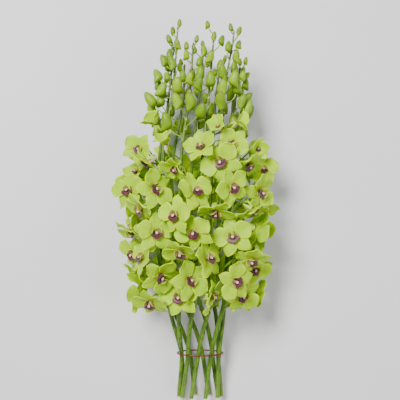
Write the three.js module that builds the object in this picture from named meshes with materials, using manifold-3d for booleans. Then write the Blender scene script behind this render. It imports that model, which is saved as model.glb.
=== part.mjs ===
// A bunch of ten cut dendrobium orchid stems, tied with one red band and laid on its side.
// Millimetres, +Z up. The stems run along +Y, cut ends at low Y and top buds at high Y, and
// z = 0 is the surface that the lowest blooms rest on. A station is a distance along the
// bunch, cut ends at 30 and the tallest bud at 606, and u and v are the places across it,
// to the right and up.
import * as THREE from 'three';
import Module from 'manifold-3d';

const wasm = await Module();
wasm.setup();

// Driving dimensions
const sprayCount = 10;
const cutStation = 30;
const tieStation = 105;
const firstBloomStation = 203;
const bloomPitch = 32;
const bloomCounts = [8, 9, 9, 8, 9, 8, 8, 9, 8, 8];
const bloomRadius = 30;
const budPitch = 13;
const budSides = [1.25, -1.25, 0.1];
const bunchHalfWidth = 101;
const bunchHalfHeight = 84;
const bunchHalfHeightBelow = 72;
const squareness = 2.4;
const tipStations = [548, 597, 594, 578, 606, 582, 560, 590, 570, 552];
const tieRing = { halfWidth: 31, halfHeight: 17 };
const bandRadius = 1.1;
const touchGap = 0.45;
const wantedClearance = 5.5;
const triesPerPiece = 40;
const sweeps = 8;
const stalkFeelers = [0.2, 0.35, 0.5, 0.65, 0.8];

const leafGreen = 0xb5cf62;
const bandRed = 0xa83226;

// Keyed profiles along the bunch: pairs of a station and a value there
const fullness = [[190, 0.8], [240, 0.94], [310, 1], [370, 1], [444, 0.87], [500, 0.72]];
const axisHeight = [[30, 17.4], [105, 40], [200, 71], [275, 85], [420, 88], [606, 84]];
const axisLean = [[105, 0], [230, -7], [400, -5], [606, 15]];
const stemRingWidth = [[30, 34], [105, 31], [200, 47], [275, 57], [420, 58], [500, 52], [606, 56]];
const stemRingHeight = [[30, 14], [105, 17], [200, 31], [275, 41], [420, 43], [500, 41], [606, 45]];
const stemRadius = [[30, 3.5], [200, 3.2], [450, 2.2], [606, 1.1]];
const spiral = [[30, 1.15], [105, 0.8], [215, 0]];
const swayFrom = 205;
const swayLength = 190;
const cutSlant = 0.5;

// One random number from 0 to 1 after another, the same on every run
let seed = 108;
function random() {
  seed = (seed * 1664525 + 1013904223) % 4294967296;
  return seed / 4294967296;
}

function spread(amount) {
  return (2 * random() - 1) * amount;
}

// The value of a keyed profile at a station, on a smooth curve through its keys
function profile(keys, station) {
  const last = keys.length - 1;
  if (station <= keys[0][0]) return keys[0][1];
  if (station >= keys[last][0]) return keys[last][1];
  let i = 0;
  while (station > keys[i + 1][0]) i++;
  const slope = (a, b) => (keys[b][1] - keys[a][1]) / (keys[b][0] - keys[a][0]);
  const span = keys[i + 1][0] - keys[i][0];
  const t = (station - keys[i][0]) / span;
  const leaving = slope(Math.max(i - 1, 0), i + 1) * span;
  const arriving = slope(i, Math.min(i + 2, last)) * span;
  const rise = keys[i + 1][1] - keys[i][1];
  const square = 3 * rise - 2 * leaving - arriving;
  const cube = leaving + arriving - 2 * rise;
  return keys[i][1] + leaving * t + square * t * t + cube * t * t * t;
}

function across(station, u, v) {
  return new THREE.Vector3(u + profile(axisLean, station), station, v + profile(axisHeight, station));
}

function along(point, direction, distance) {
  return point.clone().addScaledVector(direction, distance);
}

// Twenty even columns of blooms stand round the bunch, two to a spray
function columnAngle(column) {
  const turn = (2 * Math.PI * column) / (2 * sprayCount);
  return turn + 0.075 * Math.sin(2 * turn);
}

function bunchSurface(station, angle) {
  const cos = Math.cos(angle);
  const sin = Math.sin(angle);
  const power = Math.abs(cos) ** squareness + Math.abs(sin) ** squareness;
  const reach = profile(fullness, station) * power ** (-1 / squareness);
  const height = sin > 0 ? bunchHalfHeight : bunchHalfHeightBelow;
  return across(station, bunchHalfWidth * reach * cos, height * reach * sin);
}

// Each stem keeps its own direction round the bunch among the blooms, where it sways a little
// to one side. Below them the stems turn about each other, as in any bunch tied by hand.
const sways = [];
for (let spray = 0; spray < sprayCount; spray++) sways.push(spread(4));

function stemPoint(spray, station) {
  const angle = columnAngle(2 * spray + 0.5) + profile(spiral, station);
  const turn = (2 * Math.PI * Math.max(station - swayFrom, 0)) / swayLength;
  const sway = (sways[spray] * (1 - Math.cos(turn))) / 2;
  const u = profile(stemRingWidth, station) * Math.cos(angle) + sway;
  return across(station, u, profile(stemRingHeight, station) * Math.sin(angle));
}

// Tepals, the sepals and petals, by the angle they point at, seen from the front.
// Length and width are shares of the bloom's radius; side points are share along, share across.
const petalSides = [[0.46, 0.92], [0.82, 0.7]];
const sepalSides = [[0.42, 0.98], [0.76, 0.64]];
const tepals = [
  { angle: 16, length: 1, width: 0.88, sides: petalSides, bend: 0.03, edge: 0.06 },
  { angle: 90, length: 0.94, width: 0.58, sides: sepalSides, bend: -0.05, edge: 0.01 },
  { angle: 164, length: 1, width: 0.88, sides: petalSides, bend: 0.03, edge: 0.06 },
  { angle: 233, length: 0.97, width: 0.6, sides: sepalSides, bend: -0.09, edge: -0.01 },
  { angle: 307, length: 0.97, width: 0.6, sides: sepalSides, bend: -0.09, edge: -0.01 },
];
const notchAngles = [53, 127, 198.5, 270, 341.5];
const notchShare = 0.24;
const throatShare = 0.15;
const ringAngles = [90, 210, 330];

// A bloom in its own frame: x right, y up and z out of its face, in shares of its radius
function flower(cup) {
  const degrees = Math.PI / 180;
  const lift = cup * 62 * degrees;
  const place = (angle, radius, depth, side = 0) => {
    const a = angle * degrees;
    const r = radius * Math.cos(lift) - depth * Math.sin(lift);
    const z = radius * Math.sin(lift) + depth * Math.cos(lift);
    return new THREE.Vector3(r * Math.cos(a) - side * Math.sin(a), r * Math.sin(a) + side * Math.cos(a), z);
  };
  const outline = [];
  const midTop = [];
  const midBottom = [];
  const throatTop = [];
  const throatBottom = [];
  const mouth = [];
  const wave = 0.04;
  tepals.forEach(({ angle, length, width, sides, bend, edge }, k) => {
    const half = width / 2;
    const depth = (share) => bend * share * share * 2 + 0.05 * Math.sin(Math.PI * share);
    const point = (share, side, rise) => place(angle, share * length, depth(share) + rise, side * half);
    const [[low, lowSide], [high, highSide]] = sides;
    outline.push([
      point(low, -lowSide, edge),
      point(high, -highSide, edge - wave),
      point(1, 0, 0),
      point(high, highSide, edge + wave),
      point(low, lowSide, edge),
      place(notchAngles[k], notchShare, 0.01),
    ]);
    midTop.push(point(0.56, 0, -0.01));
    midBottom.push(point(0.56, 0, -0.065));
    throatTop.push(place(notchAngles[k], throatShare, 0.03));
    throatBottom.push(place(notchAngles[k], throatShare, -0.06));
  });
  throatBottom[3] = new THREE.Vector3(0, -0.3, -0.44);
  const mouthReach = [0.13, 0.13, 0.25, 0.34, 0.25].map((reach) => reach * (1 - 0.45 * cup));
  const mouthRise = [0.3, 0.3, 0.26, 0.42, 0.26];
  notchAngles.forEach((angle, k) => {
    const a = angle * degrees;
    mouth.push(new THREE.Vector3(mouthReach[k] * Math.cos(a), mouthReach[k] * Math.sin(a), mouthRise[k]));
  });
  const mouthMiddle = new THREE.Vector3(0, 0.02, 0.12);
  const ring = ringAngles.map((angle) => {
    const a = angle * degrees;
    return new THREE.Vector3(0.085 * Math.cos(a), 0.085 * Math.sin(a), -0.2);
  });
  return { outline, midTop, midBottom, throatTop, throatBottom, mouth, mouthMiddle, ring };
}

// The points by which a bloom feels for its neighbours: its outline, ribs, lip and chin
function flowerFeelers(shape) {
  const points = [...shape.outline.flat(), ...shape.midTop, ...shape.mouth, shape.throatBottom[3]];
  tepals.forEach((tepal, k) => {
    const tip = shape.outline[k][2];
    points.push(shape.midTop[k].clone().lerp(tip, 0.5));
    points.push(shape.midTop[k].clone().multiplyScalar(0.55));
    points.push(shape.outline[k][0].clone().lerp(shape.outline[k][1], 0.5));
    points.push(shape.outline[k][4].clone().lerp(shape.outline[k][3], 0.5));
    points.push(shape.midTop[k].clone().lerp(shape.outline[k][0], 0.5));
    points.push(shape.midTop[k].clone().lerp(shape.outline[k][4], 0.5));
  });
  return points.map((point) => ({ point, thickness: 0 }));
}

// A bud in its own frame: z along its axis, y towards its chin, in shares of its length
const budRings = [
  { at: 0.22, radius: 0.27, chin: 0.2 },
  { at: 0.66, radius: 0.25, chin: 0.02 },
];

function budFeelers() {
  const middle = { point: new THREE.Vector3(0, 0.03, 0.35), thickness: 0.26 };
  const tip = { point: new THREE.Vector3(0, 0, 0.9), thickness: 0.08 };
  return [middle, tip];
}

// The frame of a piece that faces along a direction and is rolled about it
function facingFrame(face, roll) {
  const front = face.clone().normalize();
  const upright = new THREE.Vector3(0, 1, 0);
  if (Math.abs(front.y) > 0.97) upright.set(0, 0.2, 1);
  const up = upright.addScaledVector(front, -upright.dot(front)).normalize();
  const right = up.clone().cross(front);
  const cos = Math.cos(roll);
  const sin = Math.sin(roll);
  const rolledUp = up.clone().multiplyScalar(cos).addScaledVector(right, sin);
  const rolledRight = right.multiplyScalar(cos).addScaledVector(up, -sin);
  return { front, up: rolledUp, right: rolledRight };
}

function toPlace(local, centre, frame, size) {
  return centre.clone()
    .addScaledVector(frame.right, local.x * size)
    .addScaledVector(frame.up, local.y * size)
    .addScaledVector(frame.front, local.z * size);
}

// An open bloom, a half-open one and one that is just opening. A stem has one of each of the
// last two, above its open blooms, and they stand up more.
const stages = [
  { cup: 0.14, share: 1, rise: -0.42 },
  { cup: 0.4, share: 0.88, rise: -0.15 },
  { cup: 0.8, share: 0.78, rise: 0.5 },
];
for (const stage of stages) {
  stage.shape = flower(stage.cup);
  stage.feelers = flowerFeelers(stage.shape);
}

// Every bloom and bud with the place it grows at, and how it would like to turn
function bloomPieces(spray) {
  const pieces = [];
  for (let m = 0; m < bloomCounts[spray]; m++) {
    const stage = stages[Math.max(0, m + 3 - bloomCounts[spray])];
    const station = firstBloomStation + bloomPitch * m + spread(6);
    const angle = columnAngle(2 * spray + (m % 2)) + spread(0.06);
    const face = new THREE.Vector3(Math.cos(angle) / bunchHalfWidth, 0, Math.sin(angle) / bunchHalfHeight);
    face.normalize();
    face.y = stage.rise;
    face.z += 0.1;
    pieces.push({
      kind: 'bloom',
      spray,
      centre: bunchSurface(station, angle),
      face,
      size: bloomRadius * (stage.share + spread(0.04)),
      shape: stage.shape,
      feelers: stage.feelers,
      root: stemPoint(spray, station - 24),
      tilt: [spread(1.8), spread(1.4)],
      roll: spread(0.9),
      sink: 17 * random(),
    });
  }
  return pieces;
}

function budPieces(spray) {
  const pieces = [];
  const tip = tipStations[spray];
  const lowest = firstBloomStation + bloomPitch * (bloomCounts[spray] - 1) + 10;
  const count = Math.round((tip - lowest) / budPitch);
  const angle = columnAngle(2 * spray + 0.5);
  for (let m = 0; m < count; m++) {
    const share = m / (count - 1);
    const root = stemPoint(spray, lowest + (tip - lowest - 6) * share ** 0.95);
    const side = budSides[m % 3] + spread(0.35);
    const outward = new THREE.Vector3(Math.cos(angle + side), 0, Math.sin(angle + side));
    const stalk = 24 - 16 * share;
    const centre = along(root, outward, 0.85 * stalk);
    centre.y += 0.5 * stalk;
    pieces.push({
      kind: 'bud',
      spray,
      centre,
      face: outward.multiplyScalar(0.45 - 0.3 * share).setY(1),
      size: 27 - 15 * share,
      feelers: budFeelers(),
      root,
      tilt: [spread(0.25), spread(0.25)],
      roll: spread(1.2),
      sink: 0,
    });
  }
  return pieces;
}

// A way for a piece to stand: its place and frame, and where its feelers come
function stand(piece, tilt, roll, sink) {
  const base = facingFrame(piece.face, 0);
  const face = piece.face.clone().normalize();
  face.addScaledVector(base.right, tilt[0]).addScaledVector(base.up, tilt[1]).normalize();
  const frame = facingFrame(face, roll);
  const centre = along(piece.centre, face, -sink);
  const felt = piece.feelers.map((feeler) => toPlace(feeler.point, centre, frame, piece.size));
  let lowest = Infinity;
  felt.forEach((point, i) => {
    lowest = Math.min(lowest, point.z - piece.feelers[i].thickness * piece.size);
  });
  const settles = piece.kind === 'bloom' && face.z < -0.45 && lowest < 9;
  if (lowest < 0 || settles) {
    centre.z -= lowest;
    felt.forEach((point) => {
      point.z -= lowest;
    });
  }
  const pose = { centre, frame, felt, thick: piece.feelers.map((feeler) => feeler.thickness * piece.size) };
  const curve = stalkCurve({ ...piece, pose }, centre);
  for (const share of stalkFeelers) {
    felt.push(curve.getPoint(share));
    pose.thick.push(1.5);
  }
  return pose;
}

function clearance(piece, pose, pieces) {
  let least = Infinity;
  for (const other of pieces) {
    if (other === piece || !other.pose) continue;
    if (other.pose.centre.distanceTo(pose.centre) > 2.3 * bloomRadius) continue;
    pose.felt.forEach((point, i) => {
      other.pose.felt.forEach((near, j) => {
        const gap = point.distanceTo(near) - pose.thick[i] - other.pose.thick[j];
        if (gap < least) least = gap;
      });
    });
  }
  return least;
}

// Each piece first tries to turn as it would like, then gives way to its neighbours by degrees
function settle(pieces) {
  for (let sweep = 0; sweep < sweeps; sweep++) {
    for (const piece of pieces) {
      let best = piece.pose ? clearance(piece, piece.pose, pieces) : -Infinity;
      for (let i = 0; i < triesPerPiece && best < wantedClearance; i++) {
        const given = i / triesPerPiece;
        const kept = 1 - 0.7 * given;
        const loose = 0.08 + 0.4 * given + 0.06 * sweep;
        const tilt = piece.tilt.map((wanted) => wanted * kept + spread(loose));
        const roll = piece.roll * kept + spread(2 * loose);
        const pose = stand(piece, tilt, roll, piece.sink + spread(14 * loose));
        const gap = clearance(piece, pose, pieces);
        if (gap > best) {
          best = gap;
          piece.pose = pose;
        }
      }
      piece.gap = best;
    }
  }
}

const pieces = [];
for (let spray = 0; spray < sprayCount; spray++) pieces.push(...bloomPieces(spray));
for (let spray = 0; spray < sprayCount; spray++) pieces.push(...budPieces(spray));
settle(pieces);

// A closed mesh that grows vertex by vertex
class Shell {
  constructor() {
    this.vertices = [];
    this.faces = [];
  }

  add(point) {
    this.vertices.push(point.x, point.y, point.z);
    return this.vertices.length / 3 - 1;
  }

  face(a, b, c) {
    this.faces.push(a, b, c);
  }

  // Joins ring b behind ring a, both counted anticlockwise seen from in front of a
  wall(a, b) {
    for (let i = 0; i < a.length; i++) {
      const next = (i + 1) % a.length;
      this.face(a[next], a[i], b[i]);
      this.face(a[next], b[i], b[next]);
    }
  }

  // Joins ring b behind ring a where they differ in number, by the degrees they stand at
  bridge(a, aDegrees, b, bDegrees) {
    const middle = (degrees, i) => (degrees[i] + (degrees[i + 1] ?? degrees[0] + 360)) / 2;
    let i = 0;
    let j = 0;
    while (i < a.length || j < b.length) {
      if (j === b.length || (i < a.length && middle(aDegrees, i) < middle(bDegrees, j))) {
        this.face(a[(i + 1) % a.length], a[i], b[j % b.length]);
        i++;
      } else {
        this.face(a[i % a.length], b[j], b[(j + 1) % b.length]);
        j++;
      }
    }
  }

  // Closes a ring seen from behind
  close(ring) {
    for (let i = 2; i < ring.length; i++) this.face(ring[0], ring[i], ring[i - 1]);
  }

  solid() {
    const mesh = new wasm.Mesh({
      numProp: 3,
      vertProperties: new Float32Array(this.vertices),
      triVerts: new Uint32Array(this.faces),
    });
    mesh.merge();
    return new wasm.Manifold(mesh);
  }
}

function ringAround(centre, front, up, radius, sides, start) {
  const level = up.clone().addScaledVector(front, -up.dot(front)).normalize();
  const right = level.clone().cross(front);
  const points = [];
  for (let i = 0; i < sides; i++) {
    const a = start + (2 * Math.PI * i) / sides;
    points.push(along(along(centre, right, radius * Math.cos(a)), level, radius * Math.sin(a)));
  }
  return { points, level };
}

// The stalk from a piece's back to inside its stem, on one smooth curve
function stalkCurve(piece, back) {
  const { front, up } = piece.pose.frame;
  const length = back.distanceTo(piece.root);
  const leaving = along(along(back, front, -0.42 * length), up, 0.06 * length);
  const outward = back.clone().sub(piece.root);
  outward.y = 0;
  outward.normalize();
  const rising = along(piece.root, outward, 0.3 * length);
  rising.y += 0.22 * length;
  return new THREE.CubicBezierCurve3(back, leaving, rising, piece.root);
}

function addStalk(shell, firstRing, curve, up, radii, start) {
  let ring = firstRing;
  let level = up;
  radii.forEach(([share, radius]) => {
    const front = curve.getTangent(share).negate();
    const next = ringAround(curve.getPoint(share), front, level, radius, firstRing.length, start);
    level = next.level;
    const indices = next.points.map((point) => shell.add(point));
    shell.wall(ring, indices);
    ring = indices;
  });
  shell.close(ring);
}

function bloomSolid(piece) {
  const { centre, frame } = piece.pose;
  const shape = piece.shape;
  const shell = new Shell();
  const put = (local) => shell.add(toPlace(local, centre, frame, piece.size));
  const outline = shape.outline.map((points) => points.map(put));
  const midTop = shape.midTop.map(put);
  const midBottom = shape.midBottom.map(put);
  const throatTop = shape.throatTop.map(put);
  const throatBottom = shape.throatBottom.map(put);
  const mouth = shape.mouth.map(put);
  const middle = put(shape.mouthMiddle);
  const ring = shape.ring.map(put);
  for (let k = 0; k < 5; k++) {
    const before = (k + 4) % 5;
    const edge = [outline[before][5], ...outline[k]];
    const front = [throatTop[before], ...edge, throatTop[k]];
    const behind = [throatBottom[before], ...edge, throatBottom[k]];
    for (let i = 0; i < front.length; i++) {
      const next = (i + 1) % front.length;
      shell.face(midTop[k], front[i], front[next]);
      shell.face(midBottom[k], behind[next], behind[i]);
    }
    shell.face(throatTop[before], throatTop[k], mouth[k]);
    shell.face(throatTop[before], mouth[k], mouth[before]);
    shell.face(mouth[before], mouth[k], middle);
  }
  shell.bridge(throatBottom, notchAngles, ring, ringAngles);
  const back = toPlace(new THREE.Vector3(0, 0, -0.2), centre, frame, piece.size);
  const curve = stalkCurve(piece, back);
  addStalk(shell, ring, curve, frame.up, [[0.5, 1.6], [1, 1.4]], Math.PI / 2);
  return shell.solid();
}

function budSolid(piece) {
  const { centre, frame } = piece.pose;
  const shell = new Shell();
  const tip = shell.add(toPlace(new THREE.Vector3(0, 0, 1), centre, frame, piece.size));
  const rings = budRings.map(({ at, radius, chin }) => {
    const indices = [];
    for (let i = 0; i < 4; i++) {
      const a = (Math.PI * i) / 2;
      const y = radius * Math.sin(a) - (i === 3 ? chin : 0);
      const local = new THREE.Vector3(radius * Math.cos(a), y, at);
      indices.push(shell.add(toPlace(local, centre, frame, piece.size)));
    }
    return indices;
  });
  const [wide, high] = rings;
  for (let i = 0; i < 4; i++) shell.face(high[i], high[(i + 1) % 4], tip);
  shell.wall(high, wide);
  const curve = stalkCurve(piece, centre);
  const neck = ringAround(curve.getPoint(0.12), frame.front, frame.up, 1.4, 3, Math.PI / 2);
  const ring = neck.points.map((point) => shell.add(point));
  shell.bridge(wide, [0, 90, 180, 270], ring, ringAngles);
  addStalk(shell, ring, curve, neck.level, [[1, 1.1]], Math.PI / 2);
  return shell.solid();
}

// A cane of five sides, cut at a slant at its foot and drawn to a point at its top
function stemSolid(spray) {
  const tip = tipStations[spray];
  const stations = [tip - 40, 490, 395, 300, 250, 205, 155, tieStation, cutStation];
  const sides = 5;
  const shell = new Shell();
  const top = shell.add(stemPoint(spray, tip));
  let above = null;
  let level = new THREE.Vector3(0, 0, 1);
  for (const station of stations) {
    if (above && station > above.station - 8) continue;
    const centre = stemPoint(spray, station);
    const front = stemPoint(spray, station + 4).sub(stemPoint(spray, station - 4)).normalize();
    const next = ringAround(centre, front, level, profile(stemRadius, station), sides, 0);
    level = next.level;
    if (station === cutStation) next.points.forEach((point) => (point.y += cutSlant * (point.z - centre.z)));
    const ring = next.points.map((point) => shell.add(point));
    if (above) shell.wall(above.ring, ring);
    else ring.forEach((index, i) => shell.face(index, ring[(i + 1) % sides], top));
    above = { ring, station };
  }
  shell.close(above.ring);
  return shell.solid();
}

function toGeometry(solid) {
  const mesh = solid.getMesh();
  const geometry = new THREE.BufferGeometry();
  geometry.setAttribute('position', new THREE.BufferAttribute(mesh.vertProperties, 3));
  geometry.setIndex(new THREE.BufferAttribute(mesh.triVerts, 1));
  geometry.computeVertexNormals();
  return geometry;
}

function spraySolid(spray) {
  let solid = stemSolid(spray);
  for (const piece of pieces) {
    if (piece.spray !== spray) continue;
    const grown = piece.kind === 'bloom' ? bloomSolid(piece) : budSolid(piece);
    solid = solid.add(grown);
  }
  return solid;
}

// The elastic band, a round ring that lies just clear of the outermost stems
function bandSolid() {
  const reach = profile(stemRadius, tieStation) + touchGap + bandRadius;
  const steps = 36;
  const shell = new Shell();
  const rings = [];
  for (let i = 0; i < steps; i++) {
    const a = (2 * Math.PI * i) / steps;
    const outward = new THREE.Vector3(Math.cos(a) / tieRing.halfWidth, 0, Math.sin(a) / tieRing.halfHeight);
    outward.normalize();
    const onStem = across(tieStation, tieRing.halfWidth * Math.cos(a), tieRing.halfHeight * Math.sin(a));
    const centre = along(onStem, outward, reach);
    const front = new THREE.Vector3(0, 1, 0).cross(outward);
    const ring = ringAround(centre, front, outward, bandRadius, 4, Math.PI / 4);
    rings.push(ring.points.map((point) => shell.add(point)));
  }
  rings.forEach((ring, i) => shell.wall(ring, rings[(i + 1) % steps]));
  return shell.solid();
}

function named(name, solid, color, roughness) {
  const material = new THREE.MeshStandardMaterial({ color, roughness, metalness: 0 });
  const mesh = new THREE.Mesh(toGeometry(solid), material);
  mesh.name = name;
  return mesh;
}

const bunch = new THREE.Group();
for (let spray = 0; spray < sprayCount; spray++) {
  const name = `spray_${String(spray + 1).padStart(2, '0')}`;
  bunch.add(named(name, spraySolid(spray), leafGreen, 0.5));
}
bunch.add(named('band', bandSolid(), bandRed, 0.4));

// The origin is on the surface, under the middle of the bunch
const box = new THREE.Box3().setFromObject(bunch);
bunch.position.set(-(box.min.x + box.max.x) / 2, -(box.min.y + box.max.y) / 2, -box.min.z);

export default bunch;
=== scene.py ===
import math

import bpy
import numpy as np
from mathutils import Matrix, Vector


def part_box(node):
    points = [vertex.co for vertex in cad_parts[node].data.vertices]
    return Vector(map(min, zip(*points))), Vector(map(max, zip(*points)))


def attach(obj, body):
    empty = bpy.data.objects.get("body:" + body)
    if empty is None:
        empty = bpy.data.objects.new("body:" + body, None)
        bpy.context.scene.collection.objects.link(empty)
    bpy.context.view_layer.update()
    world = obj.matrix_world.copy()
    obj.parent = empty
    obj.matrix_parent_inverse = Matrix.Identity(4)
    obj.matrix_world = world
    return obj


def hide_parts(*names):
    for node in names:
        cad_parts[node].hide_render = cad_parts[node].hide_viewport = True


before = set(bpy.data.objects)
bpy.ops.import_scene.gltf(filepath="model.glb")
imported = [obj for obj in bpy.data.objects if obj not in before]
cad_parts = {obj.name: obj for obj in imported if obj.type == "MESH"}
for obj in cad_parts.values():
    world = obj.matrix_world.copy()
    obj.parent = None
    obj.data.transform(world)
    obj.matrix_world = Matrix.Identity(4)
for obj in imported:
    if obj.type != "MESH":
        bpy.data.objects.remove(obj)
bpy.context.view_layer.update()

# The canes. Ten green dendrobium canes are cut at a slant and held in one band; each is a
# smooth, jointed stem that thins into a browner flower stalk. They fan out above the band,
# every one keeping its own direction round the bunch, which lies on its side.
MM = 0.001
spray_count = 10
cut_station = 30
tie_station = 105
tip_stations = [548, 597, 594, 578, 606, 582, 560, 590, 570, 552]
axis_height = [[30, 17.4], [105, 40], [200, 71], [275, 85], [420, 88], [606, 84]]
axis_lean = [[105, 0], [230, -7], [400, -5], [606, 15]]
stem_ring_width = [[30, 34], [105, 31], [200, 47], [275, 57], [420, 58], [500, 52], [606, 56]]
stem_ring_height = [[30, 14], [105, 17], [200, 31], [275, 41], [420, 43], [500, 41], [606, 45]]
stem_radius = [[30, 3.5], [200, 3.2], [450, 2.2], [606, 1.1]]
spiral = [[30, 1.15], [105, 0.8], [215, 0]]
sway_from = 205
sway_length = 190
cut_slant = 0.5
seed = 108


def random():
    global seed
    seed = (seed * 1664525 + 1013904223) % 4294967296
    return seed / 4294967296


def spread(amount):
    return (2 * random() - 1) * amount


def profile(keys, station):
    last = len(keys) - 1
    if station <= keys[0][0]:
        return keys[0][1]
    if station >= keys[last][0]:
        return keys[last][1]
    i = 0
    while station > keys[i + 1][0]:
        i += 1

    def slope(a, b):
        return (keys[b][1] - keys[a][1]) / (keys[b][0] - keys[a][0])

    span = keys[i + 1][0] - keys[i][0]
    t = (station - keys[i][0]) / span
    leaving = slope(max(i - 1, 0), i + 1) * span
    arriving = slope(i, min(i + 2, last)) * span
    rise = keys[i + 1][1] - keys[i][1]
    square = 3 * rise - 2 * leaving - arriving
    cube = leaving + arriving - 2 * rise
    return keys[i][1] + leaving * t + square * t * t + cube * t * t * t


def across(station, u, v):
    return np.array([u + profile(axis_lean, station), station, v + profile(axis_height, station)])


def unit(vector):
    return vector / math.sqrt(vector @ vector)


def column_angle(column):
    turn = (2 * math.pi * column) / (2 * spray_count)
    return turn + 0.075 * math.sin(2 * turn)


sways = [spread(4) for spray in range(spray_count)]


def stem_point(spray, station):
    angle = column_angle(2 * spray + 0.5) + profile(spiral, station)
    turn = (2 * math.pi * max(station - sway_from, 0)) / sway_length
    sway = (sways[spray] * (1 - math.cos(turn))) / 2
    u = profile(stem_ring_width, station) * math.cos(angle) + sway
    return across(station, u, profile(stem_ring_height, station) * math.sin(angle))


# The bunch's own millimetres are carried into the frame by the band, whose middle is known
band_low, band_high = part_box("band")
band_middle = np.array((band_low + band_high) / 2)
to_frame = band_middle - MM * across(tie_station, 0, 0)


def in_frame(points):
    return MM * np.asarray(points) + to_frame


def only(*pieces):
    bpy.ops.object.select_all(action="DESELECT")
    for piece in pieces:
        piece.select_set(True)
    bpy.context.view_layer.objects.active = pieces[0]


def sheet(name, points, wall=0.0, merge=1e-5, marks=None):
    """A grid of faces laid over rows of points, its seams and poles closed, and given a wall.
    A mark is one value for each row, kept with the points for the material to read."""
    points = np.asarray(points)
    rows, columns = points.shape[:2]
    bpy.ops.object.select_all(action="DESELECT")
    bpy.ops.mesh.primitive_grid_add(x_subdivisions=columns - 1, y_subdivisions=rows - 1, size=1)
    piece = bpy.context.object
    piece.name = name
    piece.data.vertices.foreach_set("co", points.reshape(-1))
    for mark, values in (marks or {}).items():
        made = piece.data.attributes.new(mark, "FLOAT", "POINT")
        made.data.foreach_set("value", np.repeat(np.asarray(values, dtype=float), columns))
    bpy.ops.object.mode_set(mode="EDIT")
    bpy.ops.mesh.select_all(action="SELECT")
    bpy.ops.mesh.remove_doubles(threshold=merge)
    bpy.ops.mesh.normals_make_consistent(inside=False)
    bpy.ops.object.mode_set(mode="OBJECT")
    if wall:
        thick = piece.modifiers.new("wall", "SOLIDIFY")
        thick.thickness = wall
        thick.offset = 0
        bpy.ops.object.modifier_apply(modifier=thick.name)
    bpy.ops.object.shade_smooth()
    return piece


def paint(piece, name, value):
    """One value for the whole piece, kept with its points for its material to read."""
    made = piece.data.attributes.new(name, "FLOAT", "POINT")
    made.data.foreach_set("value", np.full(len(piece.data.vertices), value))


def join(name, pieces):
    only(*pieces)
    bpy.ops.object.join()
    pieces[0].name = name
    pieces[0].data.name = name
    return pieces[0]


class Wire:
    """A value or colour in a material; sums on it add the nodes that work them out."""

    def __init__(self, tree, socket):
        self.tree = tree
        self.socket = socket

    def node(self, kind, settings=None, inputs=None, out=0):
        made = self.tree.nodes.new(kind)
        for key, value in (settings or {}).items():
            setattr(made, key, value)
        for key, value in (inputs or {}).items():
            if isinstance(value, Wire):
                self.tree.links.new(value.socket, made.inputs[key])
            else:
                made.inputs[key].default_value = value
        return Wire(self.tree, made.outputs[out])

    def maths(self, operation, *others):
        values = dict(enumerate((self, *others)))
        return self.node("ShaderNodeMath", {"operation": operation}, values)

    def __add__(self, other):
        return self.maths("ADD", other)

    def __mul__(self, other):
        return self.maths("MULTIPLY", other)

    def __sub__(self, other):
        return self.maths("SUBTRACT", other)

    def __rsub__(self, other):
        return (self * -1) + other

    def between(self, low, high):
        """0 below low, 1 above high and smooth in between; the two may be the other way round."""
        settings = {"interpolation_type": "SMOOTHSTEP"}
        inputs = {0: self, 1: min(low, high), 2: max(low, high), 3: 0.0, 4: 1.0}
        mask = self.node("ShaderNodeMapRange", settings, inputs)
        return mask if low < high else 1 - mask

    def blend(self, below, above):
        """A colour that goes from one to the other as this value goes from 0 to 1."""
        below = (*below, 1) if isinstance(below, tuple) else below
        above = (*above, 1) if isinstance(above, tuple) else above
        return self.node("ShaderNodeMix", {"data_type": "RGBA"}, {0: self, 6: below, 7: above}, out=2)


def new_finish(name, roughness=0.5, **sockets):
    """A material's tree, its surface node and a wire to start from."""
    made = bpy.data.materials.new(name)
    made.use_nodes = True
    surface = made.node_tree.nodes["Principled BSDF"]
    surface.inputs["Roughness"].default_value = roughness
    for key, value in sockets.items():
        surface.inputs[key.replace("_", " ")].default_value = value
    return made, surface, Wire(made.node_tree, None)


def colour(red, green, blue):
    """A colour as seen on a screen, 0 to 255, as the light that the renderer works in."""
    levels = [value / 255 for value in (red, green, blue)]
    return tuple(v / 12.92 if v < 0.04045 else ((v + 0.055) / 1.055) ** 2.4 for v in levels)


def place(start):
    return start.node("ShaderNodeTexCoord", out=3)


def noise(start, at, scale, detail=3.0):
    return start.node("ShaderNodeTexNoise", inputs={"Vector": at, "Scale": scale, "Detail": detail})


def parts(at):
    split = at.node("ShaderNodeSeparateXYZ", inputs={0: at})
    tree, node = split.tree, split.socket.node
    return [Wire(tree, node.outputs[i]) for i in range(3)]


def station_of(at):
    """How far along the bunch a point is, in the bunch's own millimetres."""
    return (parts(at)[1] - float(to_frame[1])) * (1 / MM)


def own_map(start):
    """Across and along the grid that a form was laid on, each from 0 to 1."""
    return parts(start.node("ShaderNodeUVMap", {"uv_map": "UVMap"}))[:2]


def kept(start, name):
    return start.node("ShaderNodeAttribute", {"attribute_name": name}, out=2)


def bump(start, height, strength, distance):
    inputs = {"Height": height, "Strength": strength, "Distance": distance}
    return start.node("ShaderNodeBump", inputs=inputs)


def feed(surface, **wires):
    for key, wire in wires.items():
        wire.tree.links.new(wire.socket, surface.inputs[key.replace("_", " ")])


joint_spacing = 41
joint_swell = 0.1
joint_reach = 2.4
scar_reach = 0.8
last_joint_station = 430
cane_ring_spacing = 3.0
cane_ring_points = 15
cut_length = 8
cane_green = colour(100, 140, 20)
cane_dark = colour(52, 86, 8)
cane_top = colour(84, 104, 20)
cane_brown = colour(76, 72, 30)
scar = colour(124, 124, 56)
pith = colour(214, 222, 158)


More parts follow.
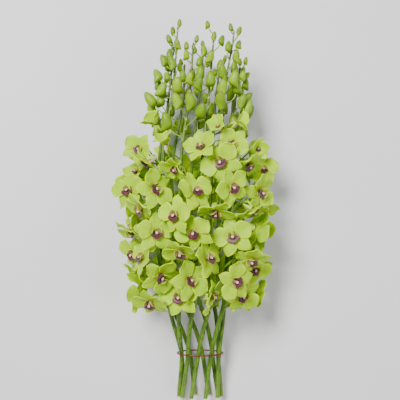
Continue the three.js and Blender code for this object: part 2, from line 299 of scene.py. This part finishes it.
def joint_stations(spray):
    first = cut_station + 14 + 23 * ((spray * 7) % 5) / 5
    return np.arange(first, last_joint_station, joint_spacing + (spray % 3) * 3)


def make_cane(spray):
    """Rings square to the cane, a slanted pale cut at its foot and a point at its top."""
    tip = tip_stations[spray]
    joints = joint_stations(spray)
    shelf = [edge for at in joints for edge in (at - 1.2, at, at + 0.5)]
    stations = sorted({*np.arange(cut_station, tip - 1, cane_ring_spacing), *shelf})
    turns = np.linspace(0, 2 * math.pi, cane_ring_points)
    rings, scarred, cut = [], [], []
    level = np.array([0.0, 0.0, 1.0])
    for i, station in enumerate([cut_station, cut_station, *stations, tip]):
        front = unit(stem_point(spray, station + 2) - stem_point(spray, station - 2))
        level = unit(level - front * (level @ front))
        right = np.cross(level, front)
        near = np.abs(joints - station).min()
        swelling = joint_swell * math.exp(-((near / joint_reach) ** 2))
        radius = profile(stem_radius, station) * (1 + swelling)
        radius *= 0 if i == 0 or station == tip else 0.94 if i == 1 else 1
        rim = radius * (np.outer(np.cos(turns), right) + np.outer(np.sin(turns), level))
        slant = cut_slant * max(0.0, 1 - (station - cut_station) / cut_length)
        rim[:, 1] += slant * rim[:, 2] - (0.4 if i < 2 else 0)
        rings.append(stem_point(spray, station) + rim)
        scarred.append(math.exp(-((near / scar_reach) ** 2)))
        cut.append(1 if i < 2 else 0)
    cane = sheet(f"cane_{spray + 1:02d}", in_frame(rings), marks={"scar": scarred, "cut": cut})
    bpy.ops.object.shade_smooth_by_angle(angle=math.radians(50))
    return cane


def cane_finish():
    made, surface, start = new_finish("cane skin", 0.38, Specular_IOR_Level=0.35)
    at = place(start)
    streaks = noise(start, at.node("ShaderNodeMapping", inputs={0: at, 3: (1, 0.06, 1)}), 420.0)
    mottle = noise(start, at, 60.0)
    green = (streaks * 0.6 + mottle * 0.4).between(0.36, 0.64).blend(cane_dark, cane_green)
    station = station_of(at)
    aged = mottle.between(0.35, 0.75).blend(cane_top, cane_brown)
    browned = station.between(400, 540).blend(green, aged)
    foot = station.between(cut_station + 60, cut_station + 4)
    greened = (foot * 0.3).blend(browned, colour(138, 170, 66))
    ringed = (kept(start, "scar") * 0.4).blend(greened, scar)
    pale = kept(start, "cut").blend(ringed, pith)
    feed(surface, Base_Color=pale, Normal=bump(start, streaks, 0.15, 0.0003))
    feed(surface, Roughness=mottle * 0.2 + 0.3)
    return made


def give(piece, spray, finish):
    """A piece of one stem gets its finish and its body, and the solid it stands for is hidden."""
    piece.data.materials.append(finish)
    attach(piece, "root")
    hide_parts(f"spray_{spray + 1:02d}")


cane_skin = cane_finish()
for spray in range(spray_count):
    give(make_cane(spray), spray, cane_skin)

# Where the blooms and buds stand. Each grows from its own cane on a stalk and turns and sinks
# a little until its petals stand clear of its neighbours; the lowest lie on the surface.
first_bloom_station = 203
bloom_pitch = 32
bloom_counts = [8, 9, 9, 8, 9, 8, 8, 9, 8, 8]
bloom_radius = 30
bloom_stalk_drop = 24
deepest_sink = 17
turned_up = 0.1
bud_pitch = 13
bud_sides = [1.25, -1.25, 0.1]
buds_begin_above = 10
buds_end_below = 6
bud_stalk, bud_stalk_lost = 24, 16
bud_size, bud_size_lost = 27, 15
bunch_half_width = 101
bunch_half_height = 84
bunch_half_height_below = 72
squareness = 2.4
wanted_clearance = 5.5
neighbour_reach = 2.3
tries_per_piece = 40
sweeps = 8
looseness, looseness_gained, looseness_each_sweep = 0.08, 0.4, 0.06
sink_looseness = 14
facing_down = -0.45
settling_height = 9
stalk_feelers = [0.2, 0.35, 0.5, 0.65, 0.8]
stalk_thickness = 1.5
fullness = [[190, 0.8], [240, 0.94], [310, 1], [370, 1], [444, 0.87], [500, 0.72]]

petal_sides = [[0.46, 0.92], [0.82, 0.7]]
sepal_sides = [[0.42, 0.98], [0.76, 0.64]]
tepals = [
    {"angle": 16, "length": 1, "width": 0.88, "sides": petal_sides, "bend": 0.03, "edge": 0.06},
    {"angle": 90, "length": 0.94, "width": 0.58, "sides": sepal_sides, "bend": -0.05, "edge": 0.01},
    {"angle": 164, "length": 1, "width": 0.88, "sides": petal_sides, "bend": 0.03, "edge": 0.06},
    {"angle": 233, "length": 0.97, "width": 0.6, "sides": sepal_sides, "bend": -0.09, "edge": -0.01},
    {"angle": 307, "length": 0.97, "width": 0.6, "sides": sepal_sides, "bend": -0.09, "edge": -0.01},
]
notch_angles = [53, 127, 198.5, 270, 341.5]
notch_share = 0.24
wave = 0.04
mouth_reach = [0.13, 0.13, 0.25, 0.34, 0.25]
mouth_rise = [0.3, 0.3, 0.26, 0.42, 0.26]
chin_tip = np.array([0, -0.3, -0.44])
full_cup = math.radians(62)


def tepal_place(angle, radius, depth, side, cup):
    """A point of a tepal: out along its angle, across it, and lifted as the bloom closes."""
    a = math.radians(angle)
    lift = cup * full_cup
    r = radius * np.cos(lift) - depth * np.sin(lift)
    z = radius * np.sin(lift) + depth * np.cos(lift)
    x = r * math.cos(a) - side * math.sin(a)
    y = r * math.sin(a) + side * math.cos(a)
    return np.stack(np.broadcast_arrays(x, y, z), axis=-1)


def tepal_depth(bend, share):
    return bend * share * share * 2 + 0.05 * np.sin(math.pi * share)


def flower_feelers(cup):
    outlines, middles = [], []
    for k, leaf in enumerate(tepals):
        half = leaf["width"] / 2

        def point(share, side, rise):
            depth = tepal_depth(leaf["bend"], share) + rise
            return tepal_place(leaf["angle"], share * leaf["length"], depth, side * half, cup)

        (low, low_side), (high, high_side) = leaf["sides"]
        edge = leaf["edge"]
        outlines.append([
            point(low, -low_side, edge),
            point(high, -high_side, edge - wave),
            point(1, 0, 0),
            point(high, high_side, edge + wave),
            point(low, low_side, edge),
            tepal_place(notch_angles[k], notch_share, 0.01, 0, cup),
        ])
        middles.append(point(0.56, 0, -0.01))
    points = [point for outline in outlines for point in outline] + middles
    for angle, reach, rise in zip(notch_angles, mouth_reach, mouth_rise):
        a = math.radians(angle)
        reach = reach * (1 - 0.45 * cup)
        points.append(np.array([reach * math.cos(a), reach * math.sin(a), rise]))
    points.append(chin_tip)
    for outline, middle in zip(outlines, middles):
        points.append((middle + outline[2]) / 2)
        points.append(middle * 0.55)
        points.append((outline[0] + outline[1]) / 2)
        points.append((outline[4] + outline[3]) / 2)
        points.append((middle + outline[0]) / 2)
        points.append((middle + outline[4]) / 2)
    return np.array(points), np.zeros(len(points))


bud_feelers = (np.array([[0, 0.03, 0.35], [0, 0, 0.9]]), np.array([0.26, 0.08]))


def bunch_surface(station, angle):
    cos = math.cos(angle)
    sin = math.sin(angle)
    power = abs(cos) ** squareness + abs(sin) ** squareness
    reach = profile(fullness, station) * power ** (-1 / squareness)
    height = bunch_half_height if sin > 0 else bunch_half_height_below
    return across(station, bunch_half_width * reach * cos, height * reach * sin)


# An open bloom, a half-open one and one that is just opening; a stem has one of each of the
# last two, above its open blooms
stages = [
    {"cup": 0.14, "share": 1, "rise": -0.42},
    {"cup": 0.4, "share": 0.88, "rise": -0.15},
    {"cup": 0.8, "share": 0.78, "rise": 0.5},
]
for stage in stages:
    stage["feelers"] = flower_feelers(stage["cup"])


def bloom_pieces(spray):
    grown = []
    for m in range(bloom_counts[spray]):
        stage = stages[max(0, m + 3 - bloom_counts[spray])]
        station = first_bloom_station + bloom_pitch * m + spread(6)
        angle = column_angle(2 * spray + (m % 2)) + spread(0.06)
        across_face = math.cos(angle) / bunch_half_width
        face = unit(np.array([across_face, 0, math.sin(angle) / bunch_half_height]))
        face[1] = stage["rise"]
        face[2] += turned_up
        grown.append({
            "kind": "bloom", "stage": stage, "spray": spray, "number": m, "face": face,
            "centre": bunch_surface(station, angle),
            "size": bloom_radius * (stage["share"] + spread(0.04)),
            "feelers": stage["feelers"],
            "root": stem_point(spray, station - bloom_stalk_drop),
            "tilt": [spread(1.8), spread(1.4)], "roll": spread(0.9),
            "sink": deepest_sink * random(),
        })
    return grown


def bud_pieces(spray):
    grown = []
    tip = tip_stations[spray]
    lowest = first_bloom_station + bloom_pitch * (bloom_counts[spray] - 1) + buds_begin_above
    count = math.floor((tip - lowest) / bud_pitch + 0.5)
    angle = column_angle(2 * spray + 0.5)
    for m in range(count):
        share = m / (count - 1)
        root = stem_point(spray, lowest + (tip - lowest - buds_end_below) * share ** 0.95)
        side = bud_sides[m % 3] + spread(0.35)
        outward = np.array([math.cos(angle + side), 0, math.sin(angle + side)])
        stalk = bud_stalk - bud_stalk_lost * share
        centre = root + outward * 0.85 * stalk
        centre[1] += 0.5 * stalk
        face = outward * (0.45 - 0.3 * share)
        face[1] = 1
        grown.append({
            "kind": "bud", "spray": spray, "number": m, "face": face, "centre": centre,
            "size": bud_size - bud_size_lost * share, "feelers": bud_feelers, "root": root,
            "tilt": [spread(0.25), spread(0.25)], "roll": spread(1.2), "sink": 0,
        })
    return grown


def facing_frame(face, roll):
    front = unit(face)
    upright = np.array([0, 0.2, 1]) if abs(front[1]) > 0.97 else np.array([0.0, 1.0, 0.0])
    up = unit(upright - front * (upright @ front))
    right = np.cross(up, front)
    cos = math.cos(roll)
    sin = math.sin(roll)
    return {"front": front, "up": up * cos + right * sin, "right": right * cos - up * sin}


def to_place(local, centre, turned, size):
    axes = np.array([turned["right"], turned["up"], turned["front"]])
    return centre + size * (np.asarray(local) @ axes)


def bezier(points, share):
    a, b, c, d = points
    rest = 1 - share
    return rest**3 * a + 3 * rest**2 * share * b + 3 * rest * share**2 * c + share**3 * d


def stalk_points(pose, root, back):
    length = math.sqrt((back - root) @ (back - root))
    leaving = back - 0.42 * length * pose["turned"]["front"] + 0.06 * length * pose["turned"]["up"]
    outward = back - root
    outward[1] = 0
    rising = root + unit(outward) * 0.3 * length
    rising[1] += 0.22 * length
    return back, leaving, rising, root


def stand(piece, tilt, roll, sink):
    base = facing_frame(piece["face"], 0)
    face = unit(unit(piece["face"]) + base["right"] * tilt[0] + base["up"] * tilt[1])
    turned = facing_frame(face, roll)
    centre = piece["centre"] - face * sink
    local, thickness = piece["feelers"]
    felt = to_place(local, centre, turned, piece["size"])
    thick = thickness * piece["size"]
    lowest = (felt[:, 2] - thick).min()
    settles = piece["kind"] == "bloom" and face[2] < facing_down and lowest < settling_height
    if lowest < 0 or settles:
        centre = centre - np.array([0, 0, lowest])
        felt[:, 2] -= lowest
    pose = {"centre": centre, "turned": turned}
    stalk = stalk_points(pose, piece["root"], centre)
    on_stalk = [bezier(stalk, share) for share in stalk_feelers]
    pose["felt"] = np.vstack([felt, on_stalk])
    pose["thick"] = np.append(thick, [stalk_thickness] * len(stalk_feelers))
    return pose


def clearance(piece, pose, pieces):
    near = []
    for other in pieces:
        if other is piece or "pose" not in other:
            continue
        away = other["pose"]["centre"] - pose["centre"]
        if away @ away <= (neighbour_reach * bloom_radius) ** 2:
            near.append(other["pose"])
    if not near:
        return math.inf
    others = np.vstack([one["felt"] for one in near])
    thick = np.concatenate([one["thick"] for one in near])
    steps = pose["felt"][:, None, :] - others[None, :, :]
    gaps = np.sqrt((steps**2).sum(axis=2)) - pose["thick"][:, None] - thick[None, :]
    return gaps.min()


def settle(pieces):
    """Each piece tries the way it would like to face, and gives way more with every try."""
    for sweep in range(sweeps):
        for piece in pieces:
            best = clearance(piece, piece["pose"], pieces) if "pose" in piece else -math.inf
            for i in range(tries_per_piece):
                if best >= wanted_clearance:
                    break
                given = i / tries_per_piece
                held = 1 - 0.7 * given
                loose = looseness + looseness_gained * given + looseness_each_sweep * sweep
                tilt = [wanted * held + spread(loose) for wanted in piece["tilt"]]
                roll = piece["roll"] * held + spread(2 * loose)
                sink = piece["sink"] + spread(sink_looseness * loose)
                pose = stand(piece, tilt, roll, sink)
                gap = clearance(piece, pose, pieces)
                if gap > best:
                    best = gap
                    piece["pose"] = pose


pieces = []
for spray in range(spray_count):
    pieces += bloom_pieces(spray)
for spray in range(spray_count):
    pieces += bud_pieces(spray)
settle(pieces)
blooms = [piece for piece in pieces if piece["kind"] == "bloom"]
buds = [piece for piece in pieces if piece["kind"] == "bud"]


def matrix_of(piece, drawn_in=0.0):
    """The move that carries a form drawn in shares of its own size to where the piece stands."""
    turned = piece["pose"]["turned"]
    size = piece["size"] * MM
    side = size * (1 - drawn_in)
    columns = [turned["right"] * side, turned["up"] * side, turned["front"] * size]
    middle = in_frame(piece["pose"]["centre"])
    rows = [[*(column[i] for column in columns), middle[i]] for i in range(3)]
    return Matrix([*rows, [0, 0, 0, 1]])


# Soft petals that reach the surface are pressed flat on it
pressed_height = 0.0003


def copy_to(form, piece, drawn_in):
    twin = form.copy()
    twin.data = form.data.copy()
    twin.data.transform(matrix_of(piece, drawn_in))
    points = np.empty(3 * len(twin.data.vertices))
    twin.data.vertices.foreach_get("co", points)
    points[2::3] = np.maximum(points[2::3], pressed_height)
    twin.data.vertices.foreach_set("co", points)
    bpy.context.collection.objects.link(twin)
    paint(twin, "tint", piece["tint"])
    return twin


def scatter(name, form_of, among, finish, draws_in=0.0):
    """Copies of a form on every bloom or bud, joined into one piece for each cane."""
    for spray in range(spray_count):
        own = [piece for piece in among if piece["spray"] == spray]
        twins = []
        for piece in own:
            cup = piece["stage"]["cup"] if draws_in else 0
            twins.append(copy_to(form_of(piece), piece, draws_in * cup))
        give(join(f"{name}_{spray + 1:02d}", twins), spray, finish)


for piece in pieces:
    piece["tint"] = random()

# The sepals and petals. Every bloom has three pointed sepals and two broad round petals, thin,
# waxy and lime green, paler at their rims, with fine veins along them and soft waves. A few
# forms of the bloom are modelled, and turned and sized for each place.
tepal_wall = 0.022
tepal_stretch = 1.03
petal_fullness, sepal_fullness = 1.06, 1.14
broadest_sepal = 0.8
form_counts = [4, 2, 2]
green_petal = colour(180, 224, 2)
pale_rim = colour(212, 238, 36)
deep_green = colour(136, 168, 0)
vein_green = colour(148, 184, 2)


def tepal_width(leaf, share):
    is_petal = leaf["width"] > broadest_sepal
    power = 1.4 if is_petal else 1.08
    rounded = np.sin(math.pi * np.clip(share, 0, 1) ** power) ** 0.8
    fuller = petal_fullness if is_petal else sepal_fullness
    return leaf["width"] / 2 * fuller * rounded


def make_tepal(leaf, cup, ripples):
    rows, columns = 15, 11
    s = np.linspace(-1, 1, columns)[None, :]
    t = np.linspace(0, 1, rows)[:, None]
    share = 0.07 + 0.93 * (1 - (1 - t) ** 1.25)
    half = tepal_width(leaf, share)
    depth = tepal_depth(leaf["bend"], share) + leaf["edge"] * s**2 * np.sin(math.pi * share) ** 0.5
    depth = depth + wave * s * np.clip((share - 0.45) / 0.4, 0, 1)
    for size, count, phase in ripples:
        depth = depth + size * np.abs(s) ** 2.5 * np.sin(count * math.pi * share + phase + s) * share
    depth = depth - 0.02 * np.exp(-((s / 0.14) ** 2)) * np.sin(math.pi * share)
    along = share * leaf["length"] * tepal_stretch
    points = tepal_place(leaf["angle"], along, depth, s * half, cup)
    return sheet("tepal", points, wall=tepal_wall, merge=1e-4)


def make_bloom(name, cup):
    made = []
    for leaf in tepals:
        ripples = [(0.03 + 0.02 * random(), 3 + 2 * random(), 6 * random()) for i in range(2)]
        turned = dict(leaf, angle=leaf["angle"] + spread(3))
        made.append(make_tepal(turned, cup + spread(0.05), ripples))
    return join(name, made)


def petal_finish():
    soft = {"Subsurface_Weight": 0.18, "Subsurface_Scale": 0.004, "Specular_IOR_Level": 0.16}
    made, surface, start = new_finish("petal skin", 0.42, **soft)
    surface.inputs["Subsurface Radius"].default_value = (0.7, 1.0, 0.25)
    at = place(start)
    u, v = own_map(start)
    tint = kept(start, "tint")
    side = (u - 0.5).maths("ABSOLUTE") * 2
    cloud = noise(start, at, 45.0)
    grain = noise(start, at, 700.0, 2.0)
    veins = (u * 2 - 1).maths("MULTIPLY", 40.0).maths("SINE") * 0.5 + 0.5
    base = tint.blend(colour(158, 200, 0), green_petal)
    clouded = (cloud.between(0.35, 0.7) * 0.5).blend(base, deep_green)
    throat = v.between(0.34, 0.06)
    warmed = (throat * 0.75).blend(clouded, colour(160, 190, 10))
    rimmed = ((side.between(0.72, 1.0) + v.between(0.86, 1.0)) * 0.55).blend(warmed, pale_rim)
    veined = (veins.between(0.72, 1.0) * 0.22).blend(rimmed, vein_green)
    speckled = (grain.between(0.5, 0.75) * 0.12).blend(veined, colour(208, 232, 40))
    feed(surface, Base_Color=speckled, Roughness=grain * 0.16 + 0.36)
    feed(surface, Normal=bump(start, veins * 0.6 + grain * 0.5, 0.16, 0.0003))
    return made


petal_skin = petal_finish()
bloom_forms = []
for stage, count in zip(stages, form_counts):
    stage["forms"] = [make_bloom(f"bloom_form_{i}", stage["cup"]) for i in range(count)]
    bloom_forms += stage["forms"]


def bloom_form(piece):
    forms = piece["stage"]["forms"]
    return forms[(piece["number"] + 3 * piece["spray"]) % len(forms)]


scatter("petals", bloom_form, blooms, petal_skin)

# The chins. The two lower sepals run back into a hollow spur behind the bloom, whitish pink
# along the middle and brownish at the sides, and the ovary leaves from beside it.
chin_white = colour(216, 196, 172)
chin_brown = colour(128, 84, 62)


def make_chin():
    t = np.linspace(0, 1, 12)[:, None]
    a = np.linspace(0, 2 * math.pi, 15)[None, :]
    start = np.array([0, -0.05, 0.0])
    bow = np.array([0, -0.24, -0.16])
    middle = (1 - t) ** 2 * start[:, None, None] + 2 * t * (1 - t) * bow[:, None, None]
    middle = middle + t**2 * 1.08 * chin_tip[:, None, None]
    radius = 0.18 * (1 - t) ** 0.75 + 0.02 * np.sin(math.pi * t)
    x = middle[0] + radius * np.cos(a)
    y = middle[1] + radius * np.sin(a) * 0.8
    z = middle[2] + radius * np.sin(a) * -0.45
    return sheet("chin", np.stack([x, y, z], axis=-1), merge=1e-4)


def chin_finish():
    soft = {"Subsurface_Weight": 0.15, "Subsurface_Scale": 0.003}
    made, surface, start = new_finish("chin skin", 0.4, **soft)
    u, v = own_map(start)
    cloud = noise(start, place(start), 260.0)
    under = (u - 0.75).maths("ABSOLUTE")
    flank = under.between(0.05, 0.13)
    browned = cloud.between(0.4, 0.6).blend(chin_brown, colour(160, 150, 60))
    stripe = flank.blend(chin_white, browned)
    back = under.between(0.15, 0.27).blend(stripe, colour(172, 206, 44))
    tipped = v.between(0.72, 1.0).blend(back, colour(180, 204, 64))
    feed(surface, Base_Color=tipped, Normal=bump(start, cloud, 0.2, 0.0003))
    return made


chin = make_chin()
scatter("chins", lambda piece: chin, blooms, chin_finish())

# The lips. One folded petal wraps the column: its two side lobes stand up as an olive-brown
# hood with a yellow-green rim, and its front spreads into three small maroon lobes.
lip_maroon = colour(98, 24, 36)
lip_dark = colour(62, 14, 28)
lip_edge = colour(110, 38, 48)
lip_olive = colour(140, 134, 44)
lip_rim = colour(200, 208, 70)


def make_lip():
    rows, columns = 19, 29
    s = np.linspace(-1, 1, columns)[None, :]
    t = np.linspace(0, 1, rows)[:, None]
    tube_share = np.clip(t / 0.5, 0, 1)
    q = np.clip((t - 0.5) / 0.5, 0, 1)
    a = s * math.radians(150)
    radius = 0.09 + 0.11 * tube_share**0.8
    hood = (np.abs(s) > 0.5) * np.sin(math.pi * np.clip((np.abs(s) - 0.5) / 0.5, 0, 1))
    x = radius * np.sin(a)
    y = 0.03 - radius * np.cos(a) * (1 + 0.25 * (np.cos(a) < 0) * tube_share)
    z = 0.02 + tube_share * (0.27 - 0.07 * np.abs(s) ** 2)
    front = np.exp(-((s / 0.52) ** 6))
    lobes = 0.66 + 0.34 * np.abs(np.cos(math.pi * s / 0.42)) ** 0.7
    reach = q * (front * lobes + (1 - front))
    out = front * (0.15 * np.sin(0.5 * math.pi * q) + 0.02) + (1 - front) * 0.05
    x = x + reach * out * np.sin(a) * 1.2
    y = y - reach * out * np.cos(a)
    z = z + reach * front * (0.13 * q - 0.1 * q**2) + hood * q * 0.1
    return sheet("lip", np.stack([x, y, z], axis=-1), wall=0.022, merge=1e-4)


def lip_finish():
    made, surface, start = new_finish("lip skin", 0.5, Sheen_Weight=0.15)
    u, v = own_map(start)
    cloud = noise(start, place(start), 380.0)
    side = (u - 0.5).maths("ABSOLUTE") * 2
    streaks = (side * 95).maths("SINE") * 0.5 + 0.5
    hood = (streaks.between(0.5, 1.0) * 0.5).blend(lip_olive, lip_maroon)
    rimmed = v.between(0.82, 0.93).blend(hood, lip_rim)
    maroon = cloud.between(0.35, 0.68).blend(lip_dark, lip_maroon)
    rosy = (side.between(0.08, 0.0) * v.between(0.6, 0.2)).blend(maroon, colour(150, 84, 92))
    lobes = (v.between(0.9, 1.0) * 0.7).blend(rosy, lip_edge)
    shown = side.between(0.46, 0.6).blend(lobes, rimmed)
    feed(surface, Base_Color=shown, Normal=bump(start, cloud, 0.3, 0.0003))
    return made


lip = make_lip()
scatter("lips", lambda piece: lip, blooms, lip_finish(), draws_in=0.45)

# The columns. In the hood stands a short waxy column, greenish at its foot, ending in the
# rounded white and pink cap over the pollen.


def make_column():
    t = np.linspace(0, 1, 13)[:, None]
    a = np.linspace(0, 2 * math.pi, 13)[None, :]
    knob = np.sqrt(np.clip(1 - ((t - 0.84) / 0.16) ** 2, 0, 1)) * 0.072
    shaft = np.where(t < 0.84, 0.048 + 0.024 * (t / 0.84) ** 2, 0)
    radius = np.where(t > 0.84, knob, shaft) * np.where(t == 0, 0, 1)
    x = radius * np.cos(a) * 1.1
    y = 0.05 + radius * np.sin(a) - 0.09 * t**2
    z = 0.03 + 0.34 * t + 0 * a
    return sheet("column", np.stack([x, y, z], axis=-1), merge=1e-4)


def column_finish():
    soft = {"Subsurface_Weight": 0.2, "Subsurface_Scale": 0.002}
    made, surface, start = new_finish("column wax", 0.3, **soft)
    v = own_map(start)[1]
    cloud = noise(start, place(start), 420.0)
    body = v.between(0.2, 0.6).blend(colour(160, 160, 84), colour(172, 98, 112))
    cap = v.between(0.7, 0.8).blend(body, colour(226, 190, 184))
    blushed = (cloud.between(0.48, 0.72) * 0.7).blend(cap, colour(176, 96, 114))
    feed(surface, Base_Color=blushed, Normal=bump(start, cloud, 0.15, 0.0002))
    return made


column = make_column()
scatter("columns", lambda piece: column, blooms, column_finish(), draws_in=0.45)

# The buds. Closed blooms on the upper stalks, a deeper green than the petals, smooth and
# boot-shaped, with the chin as the heel and three faint seams where the sepals meet.
bud_round = [
    [0, 0.05], [0.08, 0.18], [0.22, 0.27], [0.45, 0.285],
    [0.66, 0.25], [0.86, 0.16], [0.96, 0.08], [1, 0],
]


def make_bud():
    levels = np.linspace(0, 1, 17)
    t = levels[:, None]
    a = np.linspace(0, 2 * math.pi, 19)[None, :]
    radius = np.array([profile(bud_round, level) for level in levels])[:, None]
    radius = radius * (1 - 0.05 * np.abs(np.cos(1.5 * (a - math.pi / 6))) ** 14)
    heel = np.clip(-np.sin(a), 0, 1) ** 2 * np.exp(-(((t - 0.16) / 0.17) ** 2)) * np.sign(t)
    x = radius * np.cos(a) * (1 - 0.3 * heel)
    y = radius * np.sin(a) - 0.21 * heel + 0.05 * t**2
    z = t - 0.12 * heel
    return sheet("bud", np.stack([x, y, z], axis=-1), merge=1e-4)


def bud_finish():
    soft = {"Subsurface_Weight": 0.15, "Subsurface_Scale": 0.003, "Specular_IOR_Level": 0.3}
    made, surface, start = new_finish("bud skin", 0.42, **soft)
    at = place(start)
    v = own_map(start)[1]
    tint = kept(start, "tint")
    cloud = noise(start, at, 140.0)
    station = station_of(at)
    grown = tint.blend(colour(102, 140, 0), colour(136, 172, 0))
    base = (station.between(520, 610) * 0.6).blend(grown, colour(84, 106, 4))
    foot = v.between(0.3, 0.02).blend(base, colour(84, 118, 0))
    tipped = (v.between(0.8, 1.0) * 0.8).blend(foot, colour(98, 116, 14))
    clouded = (cloud.between(0.4, 0.7) * 0.3).blend(tipped, colour(146, 180, 0))
    feed(surface, Base_Color=clouded, Normal=bump(start, cloud, 0.1, 0.0003))
    return made


bud = make_bud()
scatter("buds", lambda piece: bud, buds, bud_finish())

# The stalklets. Every bloom and bud hangs on a thin green stalk that leaves the cane in a small
# bract; behind an open bloom it thickens into the ribbed ovary.


def make_stalk(piece):
    pose = piece["pose"]
    young = piece["kind"] == "bud"
    back = to_place([0, 0, 0.06 if young else -0.1], pose["centre"], pose["turned"], piece["size"])
    curve = stalk_points(pose, piece["root"], back)
    thin, thick = (0.9, 1.1) if young else (1.25, 2.0)
    turns = np.linspace(0, 2 * math.pi, 9)
    level = pose["turned"]["up"]
    rings = []
    for share in np.linspace(0, 1, 13):
        front = unit(bezier(curve, max(share - 0.01, 0)) - bezier(curve, min(share + 0.01, 1)))
        level = unit(level - front * (level @ front))
        right = np.cross(level, front)
        radius = thin + (thick - thin) * math.exp(-(((share - 0.08) / 0.22) ** 2))
        rim = radius * (np.outer(np.cos(turns), right) + np.outer(np.sin(turns), level))
        rings.append(bezier(curve, share) + rim)
    return sheet("stalk", in_frame(rings))


def stalk_finish():
    made, surface, start = new_finish("stalk skin", 0.4)
    u, v = own_map(start)
    cloud = noise(start, place(start), 200.0)
    ribs = (u * 50).maths("SINE") * 0.5 + 0.5
    green = v.between(0.0, 0.6).blend(colour(164, 196, 40), colour(112, 154, 22))
    clouded = (cloud.between(0.4, 0.7) * 0.4).blend(green, colour(92, 120, 24))
    feed(surface, Base_Color=clouded, Normal=bump(start, ribs * 0.6 + cloud, 0.2, 0.0003))
    return made


stalk_skin = stalk_finish()
for spray in range(spray_count):
    own = [make_stalk(piece) for piece in pieces if piece["spray"] == spray]
    give(join(f"stalks_{spray + 1:02d}", own), spray, stalk_skin)

for form in [*bloom_forms, chin, lip, column, bud]:
    bpy.data.objects.remove(form)

# The bracts. A small papery scale, pointed and drying at its tip, is left on the cane under
# every stalk that leaves it.
bract_length = 5.5


def make_bract(piece):
    root = piece["root"]
    station = root[1]
    outward = piece["pose"]["centre"] - root
    outward[1] = 0
    outward = unit(outward)
    side = np.cross(np.array([0.0, 1.0, 0.0]), outward)
    t = np.linspace(0, 1, 6)[:, None, None]
    s = np.linspace(-1, 1, 7)[None, :, None]
    radius = profile(stem_radius, station)
    half = 1.15 * (1 - t**1.6)
    flare = radius + 0.15 + 1.5 * t**1.8
    points = root + flare * (np.cos(half * s) * outward + np.sin(half * s) * side)
    points = points + (bract_length * t - 3.5) * np.array([0.0, 1.0, 0.0])
    return sheet("bract", in_frame(points), wall=0.00045)


def bract_finish():
    made, surface, start = new_finish("bract paper", 0.6)
    v = own_map(start)[1]
    cloud = noise(start, place(start), 300.0)
    dried = (v + cloud * 0.5).between(0.7, 1.1).blend(colour(150, 172, 76), colour(168, 142, 92))
    feed(surface, Base_Color=dried, Normal=bump(start, cloud, 0.2, 0.0002))
    return made


bract_paper = bract_finish()
for spray in range(spray_count):
    own = [make_bract(piece) for piece in pieces if piece["spray"] == spray]
    give(join(f"bracts_{spray + 1:02d}", own), spray, bract_paper)

# The band. One thin red elastic band, round in section, goes once round all ten canes.
tie_ring_width = 31
tie_ring_height = 17
touch_gap = 0.45
band_radius = 1.1


def make_band():
    reach = profile(stem_radius, tie_station) + touch_gap + band_radius
    turns = np.linspace(0, 2 * math.pi, 13)
    rings = []
    for a in np.linspace(0, 2 * math.pi, 97):
        outward = unit(np.array([math.cos(a) / tie_ring_width, 0, math.sin(a) / tie_ring_height]))
        on_stem = across(tie_station, tie_ring_width * math.cos(a), tie_ring_height * math.sin(a))
        section = np.outer(np.cos(turns), [0, 1, 0]) + np.outer(np.sin(turns), outward)
        rings.append(on_stem + outward * reach + band_radius * section)
    return sheet("red_band", in_frame(rings))


def band_finish():
    made, surface, start = new_finish("red elastic", 0.42)
    cloud = noise(start, place(start), 300.0)
    red = cloud.between(0.3, 0.7).blend(colour(84, 4, 2), colour(122, 12, 8))
    feed(surface, Base_Color=red, Roughness=cloud * 0.2 + 0.34)
    feed(surface, Normal=bump(start, cloud, 0.2, 0.0002))
    return made


band = make_band()
band.data.materials.append(band_finish())
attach(band, "root")
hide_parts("band")

# The floor, light and camera. A pale table top in plain soft studio light, with the camera
# straight above the bunch, as the photograph looks straight at its front.
floor_size = 12
world_strength = 0.3
bpy.ops.mesh.primitive_plane_add(size=floor_size, location=(0, 0, 0))
floor = bpy.context.object
floor.name = "table_top"
floor_finish, floor_surface, start = new_finish("pale table", 0.85)
shade = noise(start, place(start), 2.0)
pale = shade.between(0.3, 0.7).blend(colour(222, 220, 225), colour(226, 225, 224))
feed(floor_surface, Base_Color=pale)
floor.data.materials.append(floor_finish)


def soft_light(name, place, size, power, aim=(0, 0, 0.08)):
    data = bpy.data.lights.new(name, "AREA")
    data.shape = "DISK"
    data.size = size
    data.energy = power
    lamp = bpy.data.objects.new(name, data)
    bpy.context.collection.objects.link(lamp)
    lamp.location = place
    lamp.rotation_euler = (Vector(aim) - Vector(place)).to_track_quat("-Z", "Y").to_euler()


soft_light("key_light", (-0.6, 0.75, 1.8), 0.7, 71)
soft_light("fill_light", (1.3, -0.2, 1.5), 1.4, 15)
soft_light("front_light", (0.0, -1.6, 1.0), 1.4, 6)
world = bpy.data.worlds.new("studio")
world.use_nodes = True
world.node_tree.nodes["Background"].inputs[0].default_value = (0.93, 0.95, 1, 1)
world.node_tree.nodes["Background"].inputs[1].default_value = world_strength
bpy.context.scene.world = world

camera_height = 1.2
middle_height = 0.09
sensor_width = 36
view_height = 0.605
view_centre = (0.004, 0.025)
camera_data = bpy.data.cameras.new("camera")
camera_data.sensor_width = sensor_width
camera_data.lens = sensor_width * (camera_height - middle_height) / view_height
camera = bpy.data.objects.new("camera", camera_data)
bpy.context.collection.objects.link(camera)
camera.location = (*view_centre, camera_height)
bpy.context.scene.camera = camera
